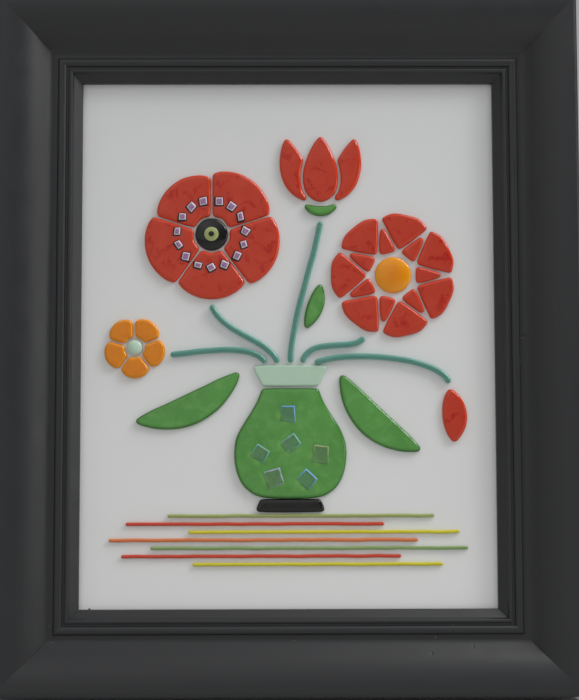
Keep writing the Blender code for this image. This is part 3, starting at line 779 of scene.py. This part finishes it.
def rod(node, line, diameter, finish, seed, squash=0.9, wander=0.25 * MM):
    """Rod that has sunk a little into a flatter section."""
    width = diameter * (1 + (1 - squash) / 2)
    melt = Melt(top=diameter * squash + 0.2 * MM, rim=width / 2 * 0.97, waist=0.42 * diameter,
                tuck=0.14 * diameter, cell=0, spacing=diameter / 5)
    outline = rod_outline(line, width, melt.spacing, seed, wander)
    melted_piece(node + "_glass", outline, melt, finish, seed, (node,))


# The picture

def make_poppy():
    for i in range(1, 6):
        node = f"poppy_petal_{i}"
        squares = chip_squares(node)
        cut_piece(node, "red_glass", LARGE_PIECE._replace(dents=squares), 10 + i)
        for k, square in enumerate(squares):
            chip(f"poppy_chip_{i}_{k + 1}", square, POPPY_CHIP, "lilac_chip", 100 * i + k,
                 uneven=0.5 * MM, inset=0.35 * MM, slim=0.28, wander=0.08 * MM, soften=0.25 * MM)
    centre, radius = dome("poppy_centre", "black_glass", 21)
    dot("poppy_centre_ring", centre, radius * 0.46, 3.1 * MM, 4.5 * MM, "lime_glass", 22)
    dot("poppy_centre_dot", centre, radius * 0.17, 4.2 * MM, 4.9 * MM, "black_glass", 23)


def make_other_flowers():
    for i in range(1, 8):
        cut_piece(f"dahlia_outer_{i}", "red_glass", SMALL_PIECE, 30 + i)
        cut_piece(f"dahlia_inner_{i}", "red_glass", SMALL_PIECE, 40 + i)
    dome("dahlia_centre", "orange_glass", 50)
    for k, node in enumerate(("tulip_petal_left", "tulip_petal_middle", "tulip_petal_right",
                              "bud")):
        cut_piece(node, "red_glass", LARGE_PIECE, 51 + k)
    cut_piece("tulip_cup", "green_glass", SMALL_PIECE, 56)
    for i in range(1, 6):
        cut_piece(f"daisy_petal_{i}", "orange_glass", SMALL_PIECE, 60 + i)
    dome("daisy_centre", "mint_glass", 66)


# Tint of the clear middle, and the two colours of the rim
FILM_COLOURS = {
    "blue": ((0.72, 1.0, 1.0), (0.20, 0.50, 1.0), (0.26, 0.58, 0.90)),
    "cyan": ((0.80, 1.0, 1.0), (0.23, 0.62, 0.68), (0.28, 0.60, 0.42)),
    "lilac": ((0.92, 1.0, 0.92), (0.64, 0.60, 0.88), (0.24, 0.47, 0.34)),
    "yellow": ((0.92, 1.0, 0.80), (0.53, 0.60, 0.26), (0.23, 0.47, 0.18)),
}
VASE_CHIP_ORDER = ("yellow", "blue", "cyan", "lilac", "cyan", "blue")
FILM_W = 0.95 * MM
# Painted light for what each chip gathers in the glass beside it: where, how far it reaches, how
# strong it is
CHIP_PAINTED_GLOWS = (((-6.2 * MM, -1.6 * MM), 2.6 * MM, 0.75),
              ((-2.4 * MM, -6.0 * MM), 2.2 * MM, 0.6),
              ((5.8 * MM, -4.4 * MM), 1.8 * MM, 0.3))


def make_vase():
    cut_piece("vase_foot", "black_glass", LARGE_PIECE, 70)
    squares = chip_squares("vase_body")
    glows = [(square.mean(0) + away, reach, strength)
             for square in squares for away, reach, strength in CHIP_PAINTED_GLOWS]
    cut_piece("vase_body", "green_glass", VASE_BODY._replace(dents=squares, glows=glows), 71)
    cut_piece("vase_collar", "mint_glass", VASE_COLLAR, 72)
    films = {name: iridescent_glass(name, *colours) for name, colours in FILM_COLOURS.items()}
    for k, (square, colour) in enumerate(zip(squares, VASE_CHIP_ORDER)):
        piece, outline = chip(f"vase_chip_{k + 1}", square, VASE_CHIP, films[colour], 700 + k,
                              uneven=0.7 * MM, inset=0.0, slim=0.2, wander=0.1 * MM,
                              soften=0.3 * MM)
        film_rim(piece.data, outline)


def film_rim(mesh, outline):
    """Give the second material to the faces along the outline, more of them at its upper right as a
    painted highlight on the side towards the light.
    """
    middles = np.array([(f.center.x, f.center.z) for f in mesh.polygons])
    rel = middles - outline.mean(0)
    # Painted highlight: the film rim is wider towards the upper right, where the light comes from.
    lean = (rel @ np.array([0.6, 0.8])) / np.maximum(np.linalg.norm(rel, axis=1), 1e-9)
    near = distance_to(middles, outline) < FILM_W * (0.6 + 0.5 * lean)
    mesh.polygons.foreach_set("material_index", near.astype(np.int32))


STEM_D = 4.0 * MM
STRIPE_D = 2.3 * MM
# Finishes of the stripes, from the top down
STRIPES = ("lime_glass", "red_rod", "yellow_glass", "coral_glass", "green_rod", "red_rod",
           "yellow_glass")


def make_leaves_and_stems():
    for k, name in enumerate(("left", "right", "small")):
        cut_piece("leaf_" + name, "green_glass", LARGE_PIECE, 80 + k)
    for k, name in enumerate(("poppy", "tulip", "dahlia", "daisy", "bud")):
        node = "stem_" + name
        rod(node, rod_line(node), STEM_D, "teal_glass", 90 + k)


def make_stripes():
    for k, finish in enumerate(STRIPES):
        node = f"table_stripe_{k + 1}"
        low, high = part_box(node)
        line = np.array([(x, (low.z + high.z) / 2) for x in (low.x, (low.x + high.x) / 2, high.x)])
        rod(node, line, STRIPE_D, finish, 100 + k, squash=0.86, wander=0.3 * MM)


# Bits of dust and paint on the frame: x, z from the middle of the opening and size, millimetres
SPECKS = {
    "dust": ((162.2, -13.9, 0.45), (4.0, -206.3, 0.45), (113.6, -195.8, 0.40),
             (101.2, -204.1, 0.55), (-165.2, -195.7, 0.35), (-162.4, -207.1, 0.40),
             (-164.0, -201.0, 0.30)),
    "dark_speck": ((-138.5, -185.25, 0.80),),
}
SPECK_SHAPE = (1, 0.5, 0.7)
SPECK_TURN = 1.3


def make_specks():
    """Two pieces, each with a small blob for every speck of its finish."""
    bpy.context.view_layer.update()
    depth_of = bpy.context.evaluated_depsgraph_get()
    number = 0
    for finish, specks in SPECKS.items():
        shape = bmesh.new()
        for x, z, size in specks:
            start = Vector((x * MM, -0.2, SIGHT_Z + z * MM))
            _, place, *_ = scene.ray_cast(depth_of, start, Vector((0, 1, 0)))
            turn = Matrix.Rotation(number * SPECK_TURN, 4, "Y")
            scale = Matrix.Diagonal([size * MM * share for share in SPECK_SHAPE] + [1])
            bmesh.ops.create_icosphere(shape, subdivisions=2, radius=1.0,
                                       matrix=Matrix.Translation(place) @ turn @ scale)
            number += 1
        mesh = bpy.data.meshes.new(finish)
        shape.to_mesh(mesh)
        shape.free()
        add_piece(finish + "_specks", mesh, [FINISHES[finish]])


# Plates: the white sheet and the board behind it

def plate(node, finish, cell, wave, wave_size, edge_r, seed):
    """Thin plate with eased edges and a slightly uneven front and back."""
    low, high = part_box(node)
    across = plate_stations(low.x, high.x, cell, edge_r)
    up = plate_stations(low.z, high.z, cell, edge_r)
    middle_y, half_t = (low.y + high.y) / 2, (high.y - low.y) / 2
    vertices = []
    for side in (-1, 1):
        for z in up:
            shifts = drift([(x, z) for x in across], wave_size, seed + side)
            for x, shift in zip(across, shifts):
                edge = min(x - low.x, high.x - x, z - low.z, high.z - z)
                ease = edge_r * (1 - sqrt(1 - (1 - min(edge / edge_r, 1)) ** 2))
                sink = wave * (shift - 1) / 2 * min(1.0, edge / (4 * edge_r))
                vertices.append((x, middle_y + side * (half_t - ease + sink), z))
    grid = np.arange(len(up) * len(across)).reshape(len(up), len(across))
    back = grid.size
    faces = []
    for face in quads(grid[:-1, :-1], grid[:-1, 1:], grid[1:, 1:], grid[1:, :-1]):
        faces += [face, tuple(back + v for v in reversed(face))]
    border = np.array([*grid[0], *grid[1:, -1], *grid[-1, -2::-1], *grid[-2:0:-1, 0]])
    after = np.roll(border, -1)
    faces += quads(after, border, back + border, back + after)
    add_piece(node + "_fine", mesh_from(node, vertices, faces), [FINISHES[finish]], (node,))


def plate_stations(low, high, cell, edge_r):
    """Places of the grid lines, closer together along the eased edges."""
    ease = [edge_r * (1 - cos(pi / 2 * k / 3)) for k in range(4)]
    inner = np.linspace(low + edge_r, high - edge_r, max(2, round((high - low) / cell)))
    return [low + e for e in ease[:-1]] + list(inner) + [high - e for e in ease[-2::-1]]


# Frame rails

def arc(centre, radius, start, end, steps):
    return [(centre[0] + radius * cos(a), centre[1] + radius * sin(a))
            for a in np.linspace(start, end, steps + 1)]


def bezier(p0, p1, p2, p3, steps):
    t = np.linspace(0, 1, steps + 1)[:, None]
    curve = ((1 - t) ** 3 * np.array(p0) + 3 * (1 - t) ** 2 * t * np.array(p1)
             + 3 * (1 - t) * t * t * np.array(p2) + t ** 3 * np.array(p3))
    return [tuple(point) for point in curve]


def bead(start, end, height, steps):
    middle, half = (start + end) / 2, (start - end) / 2
    return [(middle + half * cos(a), LIP_TOP_T + height * sin(a))
            for a in np.linspace(0, pi, steps + 1)]


def moulding_section():
    """Section of the moulding as (u outward, t forward), with what is front and what is back."""
    small_out = LIP_W + SMALL_BEAD_W
    large_in = small_out + BEAD_SPACE_W
    large_out = large_in + LARGE_BEAD_W
    shoulder_in = large_out + GROOVE_W
    crest_u = MOULDING_W - OUTER_EDGE_R
    run, rise = crest_u - shoulder_in, MOULDING_T - LIP_TOP_T
    outer_u = MOULDING_W - BACK_EDGE_R
    front = arc((outer_u, BACK_EDGE_R), BACK_EDGE_R, -pi / 2, 0, 3)
    front += [(MOULDING_W, t) for t in np.linspace(BACK_EDGE_R, MOULDING_T - OUTER_EDGE_R, 9)[1:-1]]
    front += arc((crest_u, MOULDING_T - OUTER_EDGE_R), OUTER_EDGE_R, 0, pi / 2, 8)
    front += bezier((crest_u, MOULDING_T), (crest_u - CREST_REACH * run, MOULDING_T),
                    (shoulder_in + GROOVE_REACH * run, LIP_TOP_T + GROOVE_LIFT * rise),
                    (shoulder_in, LIP_TOP_T), 44)[1:]
    front += [((shoulder_in + large_out) / 2, LIP_TOP_T - GROOVE_D)]
    front += bead(large_out, large_in, LARGE_BEAD_H, 14)
    front += bead(small_out, LIP_W, SMALL_BEAD_H, 10)
    lip_face = np.linspace(LIP_W, LIP_EDGE_R, 6)[1:]
    slope = (LIP_TOP_T - REBATE_T - LIP_EDGE_T) / LIP_W
    front += [(u, REBATE_T + LIP_EDGE_T + slope * u) for u in lip_face]
    front += arc((LIP_EDGE_R, REBATE_T + LIP_EDGE_T - 0.2 * MM), LIP_EDGE_R, 0.65 * pi,
                 pi, 4)
    front += [(0, REBATE_T + 1.2 * MM), (0, REBATE_T)]
    back = [(REBATE_W, REBATE_T), (REBATE_W, REBATE_T / 2), (REBATE_W, 0.4 * MM),
            (REBATE_W + 0.4 * MM, 0), (MOULDING_W / 2, 0)]
    return front, back


class Nick(NamedTuple):
    """Small dent in a rail: how far along the rail from its middle, how far out, size and depth.

    A narrowness above 1 makes it shorter along the rail than across.
    """

    along: float
    out: float
    size: float
    depth: float
    narrow: float = 1.0


BOTTOM_NICKS = (Nick(-98 * MM, 28.8 * MM, 1.5 * MM, 0.2 * MM),
                Nick(-127 * MM, 24.3 * MM, 1.5 * MM, 0.2 * MM, 1.5))
RIGHT_NICKS = (Nick(-4.1 * MM, 18.5 * MM, 3.6 * MM, 0.7 * MM, 1.35),)
RAIL_STEP = 7 * MM
RAIL_END_STEPS = (0.12 * MM, 0.3 * MM, 0.6 * MM, 1.5 * MM)
MITRE_HALF_GAP = 0.01 * MM
MITRE_EASE = 0.03 * MM
MITRE_REACH = 0.22 * MM
# Lowest part of the section that a nick can reach
NICKED_FROM_T = LIP_TOP_T - MM


def rail_stations(half, nicks):
    """Shares of the half length where the rail has a section, closer at its ends and nicks."""
    places = [*np.linspace(-1, 1, 2 * round(half / RAIL_STEP) + 1)]
    places += [end * (1 - distance / half) for end in (-1, 1) for distance in RAIL_END_STEPS]
    places += [(nick.along + step * nick.size / 6) / (half + nick.out)
               for nick in nicks for step in range(-7, 8)]
    return sorted({round(float(place), 6) for place in places})


def refined(points, nicks):
    """Section points, with more of them over the reach of each nick."""
    result = []
    for a, b in zip(points, points[1:]):
        result.append(a)
        for nick in nicks:
            low, high = sorted((a[0], b[0]))
            if low < nick.out + nick.size and high > nick.out - nick.size and a[1] > NICKED_FROM_T:
                steps = max(1, ceil((high - low) / (nick.size / 6)))
                result += [(a[0] + (b[0] - a[0]) * k / steps, a[1] + (b[1] - a[1]) * k / steps)
                           for k in range(1, steps)]
    return result + [points[-1]]


def rail(node, outward, axis, half, edge_distance, nicks):
    """Rail with mitred ends, its section drawn along an edge of the opening."""
    front, back = moulding_section()
    front = refined(front, nicks)
    section = np.array(front + back)
    count, painted = len(section), len(front)
    inward = inward_normals(section)
    stations = rail_stations(half, nicks)
    along_dir = outward.cross(Vector((0, -1, 0)))
    origin = Vector((0, RAIL_BACK_Y, SIGHT_Z)) + outward * edge_distance
    vertices, nick_shades = [], []
    for share in stations:
        for i, (u, t) in enumerate(section):
            reach = half + u - MITRE_HALF_GAP
            v = share * reach
            near_end = (1 - abs(share)) * reach
            sink = MITRE_EASE * exp(-near_end / MITRE_REACH) if i < painted else 0.0
            nick_shade = 0.0
            for nick in nicks:
                away = hypot((v - nick.along) * nick.narrow, u - nick.out)
                if away < 2 * nick.size and t > NICKED_FROM_T:
                    share_here = exp(-(away / (0.5 * nick.size)) ** 2)
                    sink += nick.depth * share_here
                    # How much painted shade the nick gives this point
                    nick_shade = max(nick_shade, share_here)
            nick_shades.append(nick_shade)
            du, dt = inward[i] * sink
            point = origin + outward * (u + du) + along_dir * v
            vertices.append(point + Vector((0, -(t + dt), 0)))
    grid = np.arange(len(vertices)).reshape(-1, count)
    after = np.roll(grid, -1, axis=1)
    faces = quads(grid[:-1], after[:-1], after[1:], grid[1:])
    finishes = [int(i >= painted - 1) for i in range(count)] * (len(stations) - 1)
    for first, turn in ((0, -1), (grid[-1, 0], 1)):
        for triangle in tessellate_polygon([[Vector((u, t, 0)) for u, t in section]]):
            faces.append([first + i for i in triangle[::turn]])
            finishes.append(1)
    mesh = mesh_from(node, vertices, faces)
    fix_shading(mesh, 50)
    mesh.polygons.foreach_set("material_index", finishes)
    set_values(mesh, NICK, nick_shades)
    add_piece(node + "_fine", mesh, RAIL_FINISHES[axis], (node,))


def make_frame():
    for side, z, nicks in (("top", 1, ()), ("bottom", -1, BOTTOM_NICKS)):
        rail(f"frame_{side}_rail", Vector((0, 0, z)), "X", SIGHT_W / 2, SIGHT_H / 2, nicks)
    for side, x, nicks in (("left", -1, ()), ("right", 1, RIGHT_NICKS)):
        rail(f"frame_{side}_rail", Vector((x, 0, 0)), "Z", SIGHT_H / 2, SIGHT_W / 2, nicks)


# Wall side

def turned(name, profile, centre, finish, nodes=(), sides=32):
    """Closed round piece about the Y axis, from (radius, y) points that start and end on it."""
    rings = [(r, y) for r, y in profile if r > 0]
    vertices = [(centre[0], profile[0][1], centre[1])]
    for r, y in rings:
        vertices += [(centre[0] + r * cos(a), y, centre[1] + r * sin(a))
                     for a in (2 * pi * k / sides for k in range(sides))]
    vertices.append((centre[0], profile[-1][1], centre[1]))
    last = len(vertices) - 1
    faces = []
    for k in range(sides):
        j = (k + 1) % sides
        faces.append((0, 1 + k, 1 + j))
        for ring in range(len(rings) - 1):
            a, b = 1 + ring * sides, 1 + (ring + 1) * sides
            faces.append((a + k, b + k, b + j, a + j))
        top = 1 + (len(rings) - 1) * sides
        faces.append((top + k, last, top + j))
    mesh = mesh_from(name, vertices, faces)
    fix_shading(mesh, 45)
    add_piece(name, mesh, [FINISHES[finish]], nodes)


# Radius and distance behind the strip of a nail's section, millimetres
NAIL = ((0, -2), (0.7, -2), (0.7, 0), (1.9, 0), (1.9, 0.35), (1.4, 0.62), (0.6, 0.74), (0, 0.76))
NAIL_FROM_END = 4 * MM
STRIP_RISE = 1.2 * MM


def make_hanger():
    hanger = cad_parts["sawtooth_hanger"]
    hanger.data.materials.clear()
    hanger.data.materials.append(FINISHES["zinc"].material)
    weld = hanger.modifiers.new("Weld", "WELD")
    weld.merge_threshold = SAME_PLACE
    ease = hanger.modifiers.new("Ease", "BEVEL")
    ease.width = 0.15 * MM
    ease.segments = 2
    ease.limit_method = "ANGLE"
    low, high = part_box("sawtooth_hanger")
    foot_y = RAIL_BACK_Y + STRIP_RISE
    profile = [(r * MM, foot_y + y * MM) for r, y in NAIL]
    for side, x in (("left", low.x + NAIL_FROM_END), ("right", high.x - NAIL_FROM_END)):
        turned(f"hanger_nail_{side}", profile, (x, (low.z + high.z) / 2), "zinc", sides=20)


def make_bumpers():
    for node in ("wall_bumper_left", "wall_bumper_right"):
        low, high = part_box(node)
        centre, radius = middle_and_radius(node)
        reach = high.y - low.y
        rounding = [(radius * (0.72 + 0.28 * cos(a)),
                     low.y + reach * (0.3 + 0.7 * sin(a)))
                    for a in (pi / 2 * k / 6 for k in range(7))]
        profile = [(0, low.y), (radius, low.y), *rounding, (0, high.y)]
        turned(node + "_pad", profile, centre, "rubber_grey", (node,))


POINT_PITCH = 120 * MM
POINT_L = 11 * MM
POINT_W = 7 * MM
POINT_T = 0.5 * MM
POINT_GAP = 0.05 * MM
# Outline of a point, as shares of its length and width
POINT_SHAPE = ((-0.5, 0.0), (-0.28, 0.5), (0.18, 0.5), (0.5, 0.14), (0.5, -0.14), (0.18, -0.5),
               (-0.28, -0.5))


def make_framing_points():
    """Flat steel points, pressed into the rebate to hold the board."""
    half_w, half_h = SIGHT_W / 2 + REBATE_W, SIGHT_H / 2 + REBATE_W
    spots = []
    for side in (-1, 1):
        for k in (-1, 0, 1):
            spots.append((Vector((k * 0.8 * POINT_PITCH, side * half_h)), Vector((0, side))))
            spots.append((Vector((side * half_w, k * POINT_PITCH)), Vector((side, 0))))
    n = len(POINT_SHAPE)
    faces = [tuple(range(n)), tuple(range(2 * n - 1, n - 1, -1))]
    faces += [(k, (k + 1) % n, n + (k + 1) % n, n + k) for k in range(n)]
    for number, (spot, out) in enumerate(spots):
        across = Vector((-out.y, out.x))
        vertices = []
        for y in (BOARD_BACK_Y + POINT_GAP, BOARD_BACK_Y + POINT_GAP + POINT_T):
            for a, b in POINT_SHAPE:
                place = spot + out * (a * POINT_L - 0.30 * POINT_L) + across * (b * POINT_W)
                vertices.append((place.x, y, SIGHT_Z + place.y))
        mesh = mesh_from("framing_point", vertices, faces)
        fix_shading(mesh, 30)
        add_piece(f"framing_point_{number + 1}", mesh, [FINISHES["zinc"]])


# Stage, light and camera

FLOOR_HALF = 4.0
FLOOR_GAP = 4 * MM


def make_floor():
    half = FLOOR_HALF
    mesh = mesh_from("floor", [(-half, -half, 0), (half, -half, 0), (half, half, 0),
                               (-half, half, 0)], [(0, 1, 2, 3)])
    mesh.materials.append(FINISHES["floor"].material)
    floor = new_object("floor", mesh)
    floor.location.z = OUTER_BOTTOM - FLOOR_GAP


def area_light(name, place, size, power, spread_deg=180):
    """Soft light at a place from the middle of the opening, turned towards it."""
    data = bpy.data.lights.new(name, "AREA")
    data.shape = "RECTANGLE"
    data.size, data.size_y = size
    data.energy = power
    data.spread = radians(spread_deg)
    light = new_object(name, data)
    light.location = Vector((0, SHEET_FACE_Y, SIGHT_Z)) + Vector(place)
    light.rotation_mode = "QUATERNION"
    light.rotation_quaternion = Vector(place).to_track_quat("Z", "Y")
    light.visible_camera = False


def make_lights():
    area_light("key", (1.892, -0.84, 1.764), (1.1, 1.1), 20.5)
    area_light("key_core", (2.038, -0.84, 1.593), (0.45, 0.6), 9.0)
    area_light("high_key", (0.75, -0.50, 1.45), (0.9, 0.6), 5.6)
    area_light("side", (1.522, -0.494, 0.11), (0.6, 0.6), 1.12, spread_deg=120)
    area_light("top", (0.0, -0.494, 1.522), (0.6, 0.6), 0.3)
    area_light("rear", (-0.9, 1.8, 1.2), (1.5, 1.5), 9)


WORLD_BASE = 0.14
GLOW_FULL = 0.95
# Direction, cosine where it starts, strength
WORLD_GLOWS = (((0.0, -0.50, 0.87), 0.6, 0.45),
               ((-0.60, -0.80, 0.10), 0.5, 0.45),
               ((0.0, 0.99, 0.12), 0.0, 0.22))


def make_world():
    """Soft surroundings: an even base and a few wide glows."""
    world = bpy.data.worlds.new("surroundings")
    scene.world = world
    world.use_nodes = True
    tree = world.node_tree
    direction = add_node(tree, "TexCoord").outputs["Generated"]
    total = WORLD_BASE
    for axis, start, strength in WORLD_GLOWS:
        nearness = add_node(tree, "VectorMath", direction, Vector(axis).normalized(),
                            operation="DOT_PRODUCT").outputs["Value"]
        glow = add_node(tree, "MapRange", Value=nearness, From_Min=start, From_Max=GLOW_FULL,
                        To_Max=strength)
        glow.interpolation_type = "SMOOTHSTEP"
        total = add_node(tree, "Math", total, glow.outputs["Result"],
                         operation="ADD").outputs["Value"]
    fill(tree, tree.nodes["Background"], {"Color": (1.0, 1.0, 1.0, 1.0), "Strength": total})


def make_camera():
    data = bpy.data.cameras.new("camera")
    data.lens = CAMERA_LENS_MM
    data.sensor_width = IMAGE_LONG_SIDE_MM
    data.clip_start = 0.05
    camera = new_object("camera", data)
    lip_front_y = RAIL_BACK_Y - REBATE_T - LIP_EDGE_T
    place = Vector((0, lip_front_y, SIGHT_Z)) + CAMERA_FROM_OPENING
    turn = Euler([radians(a) for a in (-CAMERA_UP_DEG, -CAMERA_ROLL_DEG, CAMERA_LEFT_DEG)])
    camera.matrix_world = (Matrix.Translation(place) @ turn.to_matrix().transposed().to_4x4()
                           @ Matrix.Rotation(pi / 2, 4, "X"))
    scene.camera = camera


make_camera()
make_world()
make_lights()
make_floor()
make_frame()
plate("base_sheet", "white_glass", cell=4 * MM, wave=0.10 * MM, wave_size=34 * MM,
      edge_r=0.8 * MM, seed=3)
plate("backing_board", "board_brown", cell=12 * MM, wave=0.15 * MM, wave_size=90 * MM,
      edge_r=0.4 * MM, seed=5)
make_hanger()
make_bumpers()
make_framing_points()
make_poppy()
make_other_flowers()
make_vase()
make_leaves_and_stems()
make_stripes()
make_specks()

scene.view_settings.view_transform = "Standard"
